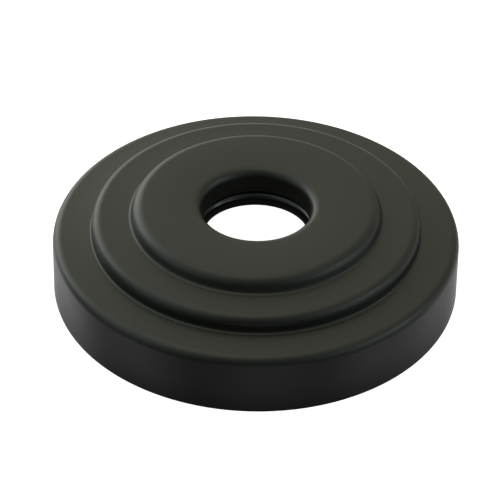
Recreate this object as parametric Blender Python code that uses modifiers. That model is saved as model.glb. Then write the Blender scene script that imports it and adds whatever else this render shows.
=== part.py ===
"""Stepped round escutcheon plate: a hollow cast cover with a grip ring in its collar.

Origin at the centre of the base plane, +Z out of the wall that the plate covers.
All sizes are in metres.
"""
import math

import bpy
from mathutils import Matrix, Vector

# The pipe that the plate slides on, and what runs close to it
pipe_radius = 0.0105
bore_clearance = 0.0001
ring_squeeze = 0.0003

# Flats of the three tiers from the bore outwards, and their rises from the wall up
top_land = 0.0132
middle_ledge = 0.0076
outer_ledge = 0.0077
wall_height = 0.0126
middle_rise = 0.0034
top_rise = 0.0029

# Where the tiers aren't square: how far the top one's side leans in, and the fall of the outer ledge
top_lean = 0.0009
outer_fall = 0.0004

# Thickness of the shell, and its rounded edges and feet
shell = 0.0020
bore_round = 0.0020
top_round = 0.0018
middle_round = 0.0020
outer_round = 0.0019
foot_round = 0.0005
inside_round = 0.0005
edge_round = 0.0003

# The grip ring, and the collar that holds it
ring_section_radius = 0.00175
ring_depth = 0.0072
seat_gap = 0.0003
collar_wall = 0.0016
lip_overlap = 0.0004
lip_thickness = 0.0014

# Facets
turn_steps = 72
ring_section_steps = 16
round_steps = 5
small_round_steps = 2
sharp_angle = math.radians(35)
weld_distance = 0.00001

# Radii and heights that follow from the sizes above
bore_radius = pipe_radius + bore_clearance
top_radius = bore_radius + top_land
top_foot_radius = top_radius + top_lean
middle_radius = top_foot_radius + middle_ledge
plate_radius = middle_radius + outer_ledge
outer_height = wall_height + outer_fall
middle_height = outer_height + middle_rise
plate_height = middle_height + top_rise
ring_radius = pipe_radius - ring_squeeze + ring_section_radius
ring_height = plate_height - ring_depth
ring_reach = ring_section_radius + seat_gap
groove_radius = ring_radius + ring_reach
groove_top = ring_height + ring_reach
lip_radius = ring_radius + ring_section_radius - lip_overlap
lip_top = ring_height - math.sqrt(ring_reach ** 2 - (lip_radius - ring_radius) ** 2)
collar_end = lip_top - lip_thickness
collar_radius = groove_radius + collar_wall


def rounded_outline(corners):
    """Return a closed outline where each corner (r, z, radius, steps) is an arc.

    Arcs that would meet on a short edge share it.
    """
    count = len(corners)
    places = [Vector(corner[:2]) for corner in corners]
    edges = [places[(i + 1) % count] - places[i] for i in range(count)]
    half_angles = [(-edges[i - 1]).angle(edges[i]) / 2 for i in range(count)]
    reaches = [corners[i][2] / math.tan(half_angles[i]) for i in range(count)]
    crowding = [1.02 * (reaches[i] + reaches[(i + 1) % count]) / edges[i].length for i in range(count)]

    points = []
    for i, (_, _, radius, steps) in enumerate(corners):
        if steps == 0:
            points.append(places[i])
            continue
        share = 1 / max(1, crowding[i - 1], crowding[i])
        to_last = -edges[i - 1].normalized()
        to_next = edges[i].normalized()
        centre = places[i] + (to_last + to_next).normalized() * share * radius / math.sin(half_angles[i])
        start = places[i] + to_last * share * reaches[i] - centre
        end = places[i] + to_next * share * reaches[i] - centre
        sweep = -start.angle_signed(end)
        for step in range(steps + 1):
            points.append(centre + Matrix.Rotation(sweep * step / steps, 2) @ start)
    return points


def plate_outline():
    """Half section of the plate: out from the bore, down the tiers and back underneath."""
    outside = [
        (bore_radius, plate_height, bore_round, round_steps),
        (top_radius, plate_height, top_round, round_steps),
        (top_foot_radius, middle_height, foot_round, small_round_steps),
        (middle_radius, middle_height, middle_round, round_steps),
        (middle_radius, outer_height, foot_round, small_round_steps),
        (plate_radius, wall_height, outer_round, round_steps),
        (plate_radius, 0, edge_round, small_round_steps),
    ]
    underside = [
        (plate_radius - shell, 0, edge_round, small_round_steps),
        (plate_radius - shell, wall_height - shell, inside_round, small_round_steps),
        (middle_radius - shell, outer_height - shell, inside_round, small_round_steps),
        (middle_radius - shell, middle_height - shell, inside_round, small_round_steps),
        (top_foot_radius - shell, middle_height - shell, inside_round, small_round_steps),
        (top_radius - shell, plate_height - shell, inside_round, small_round_steps),
    ]
    collar = [
        (collar_radius, plate_height - shell, inside_round, small_round_steps),
        (collar_radius, collar_end, edge_round, small_round_steps),
        (lip_radius, collar_end, edge_round, small_round_steps),
        (lip_radius, lip_top, 0, 0),
        (groove_radius, lip_top, 0, 0),
        (groove_radius, groove_top, 0, 0),
        (bore_radius, groove_top, edge_round, small_round_steps),
    ]
    return rounded_outline(outside + underside + collar)


def finish(name, colour, roughness, metallic):
    """Return a plain surface material."""
    material = bpy.data.materials.new(name)
    material.use_nodes = True
    surface = material.node_tree.nodes["Principled BSDF"]
    surface.inputs["Base Color"].default_value = (*colour, 1)
    surface.inputs["Roughness"].default_value = roughness
    surface.inputs["Metallic"].default_value = metallic
    return material


def shade_round(mesh):
    """Shade a round piece smooth, and keep its real corners crisp."""
    mesh.shade_smooth()
    mesh.set_sharp_from_angle(angle=sharp_angle)


def make_plate(collection):
    """Turn the plate about the bore's axis, as one solid."""
    outline = plate_outline()
    count = len(outline)
    profile = bpy.data.meshes.new("plate_profile")
    profile.from_pydata(
        [(point.x, 0, point.y) for point in outline],
        [(i, (i + 1) % count) for i in range(count)],
        [],
    )
    plate = bpy.data.objects.new("plate", profile)
    collection.objects.link(plate)
    turn = plate.modifiers.new("turn", "SCREW")
    turn.axis = "Z"
    turn.steps = turn_steps
    turn.render_steps = turn_steps
    turn.use_merge_vertices = True
    turn.merge_threshold = weld_distance

    turned = plate.evaluated_get(bpy.context.evaluated_depsgraph_get())
    plate.data = bpy.data.meshes.new_from_object(turned)
    plate.modifiers.clear()
    bpy.data.meshes.remove(profile)
    shade_round(plate.data)
    plate.data.materials.append(finish("black_paint", (0.018, 0.019, 0.017), 0.38, 0.0))


def make_grip_ring(collection):
    """Seat the round rubber ring in the collar's groove."""
    bpy.ops.mesh.primitive_torus_add(
        major_radius=ring_radius,
        minor_radius=ring_section_radius,
        major_segments=turn_steps,
        minor_segments=ring_section_steps,
        location=(0, 0, ring_height),
    )
    ring = bpy.context.active_object
    ring.name = "grip_ring"
    for home in list(ring.users_collection):
        home.objects.unlink(ring)
    collection.objects.link(ring)
    shade_round(ring.data)
    ring.data.materials.append(finish("black_rubber", (0.010, 0.011, 0.012), 0.30, 0.0))


for old in list(bpy.data.objects):
    bpy.data.objects.remove(old, do_unlink=True)
escutcheon = bpy.data.collections.new("escutcheon_plate")
bpy.context.scene.collection.children.link(escutcheon)
make_plate(escutcheon)
make_grip_ring(escutcheon)
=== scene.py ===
"""Looks of a stepped round escutcheon plate with a grip ring in its collar.

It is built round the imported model: metres, +Z out of the wall that the plate covers.
"""
import math

import bpy
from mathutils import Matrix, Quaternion, Vector


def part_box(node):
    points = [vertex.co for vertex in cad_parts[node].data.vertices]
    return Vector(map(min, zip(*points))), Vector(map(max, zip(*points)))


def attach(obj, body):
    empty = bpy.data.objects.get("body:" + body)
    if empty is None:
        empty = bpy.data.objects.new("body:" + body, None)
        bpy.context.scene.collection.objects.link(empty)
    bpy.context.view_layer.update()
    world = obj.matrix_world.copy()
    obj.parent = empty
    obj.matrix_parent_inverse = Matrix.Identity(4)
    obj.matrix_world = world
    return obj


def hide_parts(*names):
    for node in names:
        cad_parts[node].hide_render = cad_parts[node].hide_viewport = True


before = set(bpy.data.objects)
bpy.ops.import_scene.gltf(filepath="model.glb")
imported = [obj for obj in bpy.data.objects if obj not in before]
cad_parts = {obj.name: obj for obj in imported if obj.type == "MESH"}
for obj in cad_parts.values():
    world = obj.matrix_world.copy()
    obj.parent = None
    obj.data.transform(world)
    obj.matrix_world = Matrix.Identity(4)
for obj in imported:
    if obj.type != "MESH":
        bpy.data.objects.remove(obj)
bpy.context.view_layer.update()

# Plate. A hollow zinc casting of three round tiers, coated satin black all over.
# It is shaped from one ring of edges at the bore's mouth, which is drawn out over the
# tiers, down the wall, back underneath and up inside the collar until it meets itself.
plate_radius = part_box("plate")[1].x
plate_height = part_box("plate")[1].z
rim_height = 0.0126
outer_height = 0.0130
middle_radius = 0.0323
middle_height = 0.0164
top_foot_radius = 0.0247
top_radius = 0.0238
shell = 0.0020
bore_radius = 0.0106
collar_radius = 0.0156
collar_end = 0.00916
lip_radius = 0.0133
lip_top = 0.01056
groove_radius = 0.0140
groove_top = 0.01415

# Its rounded edges, and how many segments the broad, the foot and the hidden ones have.
bore_round = 0.0020
top_round = 0.0018
middle_round = 0.0020
outer_round = 0.0019
foot_round = 0.0005
inside_round = 0.0005
edge_round = 0.0003
broad_steps = 10
foot_steps = 4
hidden_steps = 3
circular = 0.5
plate_steps = 240
near = 0.00002
crease = math.radians(35)

# Each station is a corner of the section: radius, height, rounding and its segments.
stations = [
    (top_radius, plate_height, top_round, broad_steps),
    (top_foot_radius, middle_height, foot_round, foot_steps),
    (middle_radius, middle_height, middle_round, broad_steps),
    (middle_radius, outer_height, foot_round, foot_steps),
    (plate_radius, rim_height, outer_round, broad_steps),
    (plate_radius, 0, edge_round, hidden_steps),
    (plate_radius - shell, 0, edge_round, hidden_steps),
    (plate_radius - shell, rim_height - shell, inside_round, hidden_steps),
    (middle_radius - shell, outer_height - shell, inside_round, hidden_steps),
    (middle_radius - shell, middle_height - shell, inside_round, hidden_steps),
    (top_foot_radius - shell, middle_height - shell, inside_round, hidden_steps),
    (top_radius - shell, plate_height - shell, inside_round, hidden_steps),
    (collar_radius, plate_height - shell, inside_round, hidden_steps),
    (collar_radius, collar_end, edge_round, hidden_steps),
    (lip_radius, collar_end, edge_round, hidden_steps),
    (lip_radius, lip_top, 0, 0),
    (groove_radius, lip_top, 0, 0),
    (groove_radius, groove_top, 0, 0),
    (bore_radius, groove_top, edge_round, hidden_steps),
    (bore_radius, plate_height, bore_round, broad_steps),
]


def select_ring(piece, radius, height):
    """Select the ring of edges at one radius and height of a piece in edit mode."""
    bpy.ops.mesh.select_all(action="DESELECT")
    bpy.ops.object.mode_set(mode="OBJECT")
    on_ring = [
        abs(math.hypot(vertex.co.x, vertex.co.y) - radius) < near and abs(vertex.co.z - height) < near
        for vertex in piece.data.vertices
    ]
    for edge in piece.data.edges:
        edge.select = on_ring[edge.vertices[0]] and on_ring[edge.vertices[1]]
    bpy.ops.object.mode_set(mode="EDIT")


bpy.ops.object.select_all(action="DESELECT")
bpy.ops.mesh.primitive_circle_add(vertices=plate_steps, radius=bore_radius, location=(0, 0, plate_height))
plate = bpy.context.object
plate.name = "painted_plate"
bpy.ops.object.transform_apply(location=True, rotation=True, scale=True)
bpy.ops.object.mode_set(mode="EDIT")
bpy.ops.mesh.select_mode(type="EDGE")
bpy.ops.mesh.select_all(action="SELECT")
last_radius = bore_radius
last_height = plate_height
for radius, height, _, _ in stations:
    bpy.ops.mesh.extrude_edges_move(TRANSFORM_OT_translate={"value": (0, 0, height - last_height)})
    growth = radius / last_radius
    bpy.ops.transform.resize(value=(growth, growth, 1), center_override=(0, 0, height))
    last_radius = radius
    last_height = height
bpy.ops.mesh.select_all(action="SELECT")
bpy.ops.mesh.remove_doubles(threshold=near)
for radius, height, rounding, segments in stations:
    if segments:
        select_ring(plate, radius, height)
        bpy.ops.mesh.bevel(offset=rounding, offset_type="OFFSET", segments=segments, profile=circular)
bpy.ops.mesh.select_all(action="SELECT")
bpy.ops.mesh.normals_make_consistent(inside=False)
bpy.ops.object.mode_set(mode="OBJECT")
bpy.ops.object.shade_smooth_by_angle(angle=crease)


class Value:
    """An output of a node that takes part in sums: each operator adds a Math node."""

    def __init__(self, shading, socket):
        self.shading = shading
        self.socket = socket

    def sum(self, operation, *terms):
        return self.shading.node("Math", {"operation": operation}, dict(enumerate(terms)))

    def __add__(self, other):
        return self.sum("ADD", self, other)

    def __sub__(self, other):
        return self.sum("SUBTRACT", self, other)

    def __rsub__(self, other):
        return self.sum("SUBTRACT", other, self)

    def __mul__(self, other):
        return self.sum("MULTIPLY", self, other)

    def __rpow__(self, other):
        return self.sum("POWER", other, self)

    __radd__ = __add__
    __rmul__ = __mul__


class Shading:
    """The nodes of a material or a world, added one at a time."""

    def __init__(self, tree):
        self.tree = tree

    def feed(self, socket, value):
        """Link a socket to a value, or set it to a number or a colour."""
        if isinstance(value, Value):
            self.tree.links.new(value.socket, socket)
        else:
            socket.default_value = value

    def node(self, kind, settings, sockets, output=0):
        """Add a node, make its settings, feed its sockets and give one of its outputs."""
        node = self.tree.nodes.new("ShaderNode" + kind)
        for name, setting in settings.items():
            setattr(node, name, setting)
        for name, value in sockets.items():
            self.feed(node.inputs[name], value)
        return Value(self, node.outputs[output])

    def blend(self, share, first, second):
        """Mix two colours: a share of 0 gives the first, and a share of 1 the second."""
        return self.node("Mix", {"data_type": "RGBA"}, {0: share, 6: first, 7: second}, 2)


def new_finish(name):
    """Add a material, and give it with its shading and the sockets of its surface."""
    finish = bpy.data.materials.new(name)
    finish.use_nodes = True
    return finish, Shading(finish.node_tree), finish.node_tree.nodes["Principled BSDF"].inputs


# The coating is a little uneven in tone and gloss, and has a fine grain.
dark_coating = (0.0088, 0.0092, 0.0080, 1)
light_coating = (0.0112, 0.0117, 0.0102, 1)
coating_roughness = 0.35
roughness_of_clouds = 0.05
roughness_of_grain = 0.02
grain_depth = 0.00002

coating, coat, surface = new_finish("satin_black_coating")
place = coat.node("TexCoord", {}, {}, "Object")
cloud = coat.node("TexNoise", {}, {"Vector": place, "Scale": 55.0, "Detail": 3.0, "Roughness": 0.55})
grain = coat.node("TexNoise", {}, {"Vector": place, "Scale": 1700.0, "Detail": 2.0})
bump = coat.node("Bump", {}, {"Height": grain, "Strength": 0.25, "Distance": grain_depth})
coat.feed(surface["Base Color"], coat.blend(cloud, dark_coating, light_coating))
coat.feed(
    surface["Roughness"],
    coating_roughness + roughness_of_clouds * cloud + roughness_of_grain * grain,
)
coat.feed(surface["Normal"], bump)
plate.data.materials.append(coating)
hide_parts("plate")
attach(plate, "root")

# Grip ring. A round ring of moulded black rubber that sits in the collar's groove.
# It is snapped in over the lip from below, and holds the plate on the pipe. The mould
# leaves a faint parting line inside and outside.
ring_low, ring_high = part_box("grip_ring")
ring_section_radius = (ring_high.z - ring_low.z) / 2
ring_height = (ring_high.z + ring_low.z) / 2
ring_radius = ring_high.x - ring_section_radius
parting_line = 0.00004
section_points = 40
ring_steps = 240
ring_weld = 0.000005
dark_rubber = (0.0050, 0.0056, 0.0062, 1)
light_rubber = (0.0085, 0.0092, 0.0098, 1)
rubber_roughness = 0.12
roughness_of_bloom = 0.08

bpy.ops.object.select_all(action="DESELECT")
bpy.ops.mesh.primitive_circle_add(
    vertices=section_points,
    radius=ring_section_radius,
    location=(ring_radius, 0, ring_height),
    rotation=(math.pi / 2, 0, 0),
)
ring = bpy.context.object
ring.name = "rubber_grip_ring"
bpy.ops.object.transform_apply(location=True, rotation=True, scale=True)
bpy.ops.object.mode_set(mode="EDIT")
bpy.ops.mesh.select_mode(type="VERT")
for side in (-1, 1):
    bpy.ops.mesh.select_all(action="DESELECT")
    bpy.ops.object.mode_set(mode="OBJECT")
    for vertex in ring.data.vertices:
        halfway_up = abs(vertex.co.z - ring_height) < near
        vertex.select = halfway_up and side * (vertex.co.x - ring_radius) > 0
    bpy.ops.object.mode_set(mode="EDIT")
    bpy.ops.transform.translate(value=(side * parting_line, 0, 0))
bpy.ops.mesh.select_all(action="SELECT")
bpy.ops.mesh.spin(steps=ring_steps, angle=2 * math.pi, center=(0, 0, 0), axis=(0, 0, 1))
bpy.ops.mesh.select_all(action="SELECT")
bpy.ops.mesh.remove_doubles(threshold=ring_weld)
bpy.ops.mesh.normals_make_consistent(inside=False)
bpy.ops.object.mode_set(mode="OBJECT")
bpy.ops.object.shade_smooth_by_angle(angle=crease)

rubber, gum, surface = new_finish("moulded_black_rubber")
place = gum.node("TexCoord", {}, {}, "Object")
bloom = gum.node("TexNoise", {}, {"Vector": place, "Scale": 140.0, "Detail": 4.0})
grain = gum.node("TexNoise", {}, {"Vector": place, "Scale": 2600.0, "Detail": 2.0})
bump = gum.node("Bump", {}, {"Height": grain, "Strength": 0.2, "Distance": grain_depth})
gum.feed(surface["Base Color"], gum.blend(bloom, dark_rubber, light_rubber))
gum.feed(surface["Roughness"], rubber_roughness + roughness_of_bloom * bloom)
gum.feed(surface["Normal"], bump)
ring.data.materials.append(rubber)
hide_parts("grip_ring")
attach(ring, "root")

# Floor. A wide sheet of white acrylic lit from below, which the plate stands on.
# Only the camera sees it, and only from above, so that the studio's lamps reach the plate
# from every side and the hollow underside can be looked at.
floor_size = 12.0
floor_level = -0.0001
floor_colour = (0.8, 0.8, 0.8, 1)
floor_roughness = 0.6
floor_light = (1, 1, 1, 1)
floor_glow = 1.05

bpy.ops.object.select_all(action="DESELECT")
bpy.ops.mesh.primitive_plane_add(size=floor_size, location=(0, 0, floor_level))
floor = bpy.context.object
floor.name = "floor"
bpy.ops.object.transform_apply(location=True)
floor.visible_diffuse = False
floor.visible_glossy = False
floor.visible_shadow = False
acrylic, sheet, surface = new_finish("lit_white_acrylic")
sheet.feed(surface["Base Color"], floor_colour)
sheet.feed(surface["Roughness"], floor_roughness)
sheet.feed(surface["Emission Color"], floor_light)
sheet.feed(surface["Emission Strength"], floor_glow)
underneath = sheet.node("NewGeometry", {}, {}, "Backfacing")
sheet.feed(surface["Alpha"], 1 - underneath)
floor.data.materials.append(acrylic)

# Card. A round of grey card just under the collar's lip, which the camera doesn't see.
# It keeps the light of the lamps below from coming up through the bore, so the bore's
# wall and the grip ring stay dark.
card_gap = 0.0001
card_steps = 64
card_colour = (0.18, 0.18, 0.18, 1)
card_roughness = 0.9

bpy.ops.object.select_all(action="DESELECT")
bpy.ops.mesh.primitive_circle_add(
    vertices=card_steps,
    radius=lip_radius,
    fill_type="NGON",
    location=(0, 0, collar_end - card_gap),
)
card = bpy.context.object
card.name = "grey_card"
bpy.ops.object.transform_apply(location=True)
card.visible_camera = False
paper, leaf, surface = new_finish("grey_paper")
leaf.feed(surface["Base Color"], card_colour)
leaf.feed(surface["Roughness"], card_roughness)
card.data.materials.append(paper)

# Shade. The soft contact shadow of the plate, as a dark ring on the floor round its rim.
# The camera doesn't see it, but the plate's outer wall mirrors it. It is darkest at the rim
# and gone where the ring ends.
shade_reach = 0.006
shade_depth = 0.35
shade_steps = 120
shade_colour = (0.01, 0.01, 0.01, 1)
shade_roughness = 0.9

bpy.ops.object.select_all(action="DESELECT")
bpy.ops.mesh.primitive_circle_add(vertices=shade_steps, radius=plate_radius, location=(0, 0, floor_level))
shade = bpy.context.object
shade.name = "contact_shade"
bpy.ops.object.transform_apply(location=True)
bpy.ops.object.mode_set(mode="EDIT")
bpy.ops.mesh.select_all(action="SELECT")
growth = 1 + shade_reach / plate_radius
bpy.ops.mesh.extrude_edges_move()
bpy.ops.transform.resize(value=(growth, growth, 1), center_override=(0, 0, floor_level))
bpy.ops.object.mode_set(mode="OBJECT")
shade.visible_camera = False
dark, dusk, surface = new_finish("table_in_shade")
dusk.feed(surface["Base Color"], shade_colour)
dusk.feed(surface["Roughness"], shade_roughness)
place = dusk.node("TexCoord", {}, {}, "Object")
from_axis = dusk.node("VectorMath", {"operation": "LENGTH"}, {0: place}, "Value")
fading = dusk.node(
    "MapRange",
    {"interpolation_type": "SMOOTHSTEP"},
    {0: from_axis, 1: plate_radius, 2: plate_radius + shade_reach, 3: shade_depth, 4: 0.0},
)
dusk.feed(surface["Alpha"], fading)
shade.data.materials.append(dark)

# Studio. Large soft lamps behind, beside and below the plate, and hardly any light in front.
# Each one is a round patch of the room that fades outwards, and the camera sees none of them:
# it sees a plain white room.
lamps = [
    # Azimuth and elevation in degrees, tightness, brightness and colour.
    (71, 34, 5.4, 0.55, (1.07, 1.09, 0.84)),
    (-20, 31, 5.5, 0.53, (0.91, 1.07, 1.02)),
    (-22, -33, 22.3, 0.62, (1.00, 0.99, 1.01)),
    (-157, -35, 21.2, 0.67, (1.01, 0.99, 1.00)),
    (142, -27, 20.2, 1.52, (1.00, 1.00, 0.99)),
    (-85, -35, 12.4, 0.43, (0.98, 1.01, 1.01)),
    (29, -23, 12.4, 0.97, (1.01, 1.00, 0.99)),
    (-171, 44, 4.4, 0.61, (0.92, 1.09, 0.99)),
    (115, 12, 18.9, 1.79, (1.04, 1.05, 0.92)),
    (89, -33, 21.8, 2.88, (0.97, 1.02, 1.01)),
    (121, 80, 11.3, 1.00, (1.10, 1.11, 0.80)),
    (146, 30, 23.2, 1.53, (0.97, 1.04, 0.99)),
    (130, 4, 40, 1.44, (0.95, 1.04, 1.01)),
    (-5, 27, 150, 3.20, (0.97, 1.02, 1.01)),
    (-30, 22, 60, 0.63, (0.98, 1.00, 1.02)),
    (12, 11, 60, 0.36, (0.75, 1.14, 1.11)),
    (-168, 20, 60, 0.30, (0.97, 0.90, 1.13)),
    (148, 17, 150, 3.00, (0.99, 1.01, 1.00)),
    (-88, -6, 35, 0.16, (1.00, 1.00, 1.00)),
]
unlit = (0, 0, 0)
room_colour = (1.05, 1.05, 1.05, 1)
room_strength = 1.0

world = bpy.data.worlds.new("studio")
bpy.context.scene.world = world
world.use_nodes = True
room = Shading(world.node_tree)
direction = room.node("TexCoord", {}, {}, "Generated")
light = unlit
for azimuth, elevation, tightness, brightness, colour in lamps:
    turn = math.radians(azimuth)
    rise = math.radians(elevation)
    aimed = (math.cos(rise) * math.cos(turn), math.cos(rise) * math.sin(turn), math.sin(rise))
    facing = room.node("VectorMath", {"operation": "DOT_PRODUCT"}, {0: direction, 1: aimed}, "Value")
    patch = brightness * math.e ** (tightness * (facing - 1))
    light = room.node("VectorMath", {"operation": "MULTIPLY_ADD"}, {0: patch, 1: colour, 2: light})
seen = room.node("LightPath", {}, {}, "Is Camera Ray")
backdrop = world.node_tree.nodes["Background"].inputs
room.feed(backdrop["Color"], room.blend(seen, light, room_colour))
room.feed(backdrop["Strength"], room_strength)

# Camera. A long lens, looking down at the plate from the front. It is rolled by a little
# less than a degree, and aimed just left of the bore's axis, as in the photograph.
camera_distance = 0.64
camera_elevation = math.radians(38.5)
camera_roll = 0.0148
camera_lens = 231.3
film_width = 36
nearest_seen = 0.01
aim = Vector((-0.00113, 0, 0.00776))
eye = camera_distance * Vector((0, -math.cos(camera_elevation), math.sin(camera_elevation)))

bpy.ops.object.camera_add(location=eye)
camera = bpy.context.object
camera.name = "camera"
camera.data.sensor_width = film_width
camera.data.lens = camera_lens
camera.data.clip_start = nearest_seen
camera.rotation_mode = "QUATERNION"
camera.rotation_quaternion = (aim - eye).to_track_quat("-Z", "Y") @ Quaternion((0, 0, 1), camera_roll)
bpy.context.scene.camera = camera
bpy.context.scene.view_settings.view_transform = "Standard"
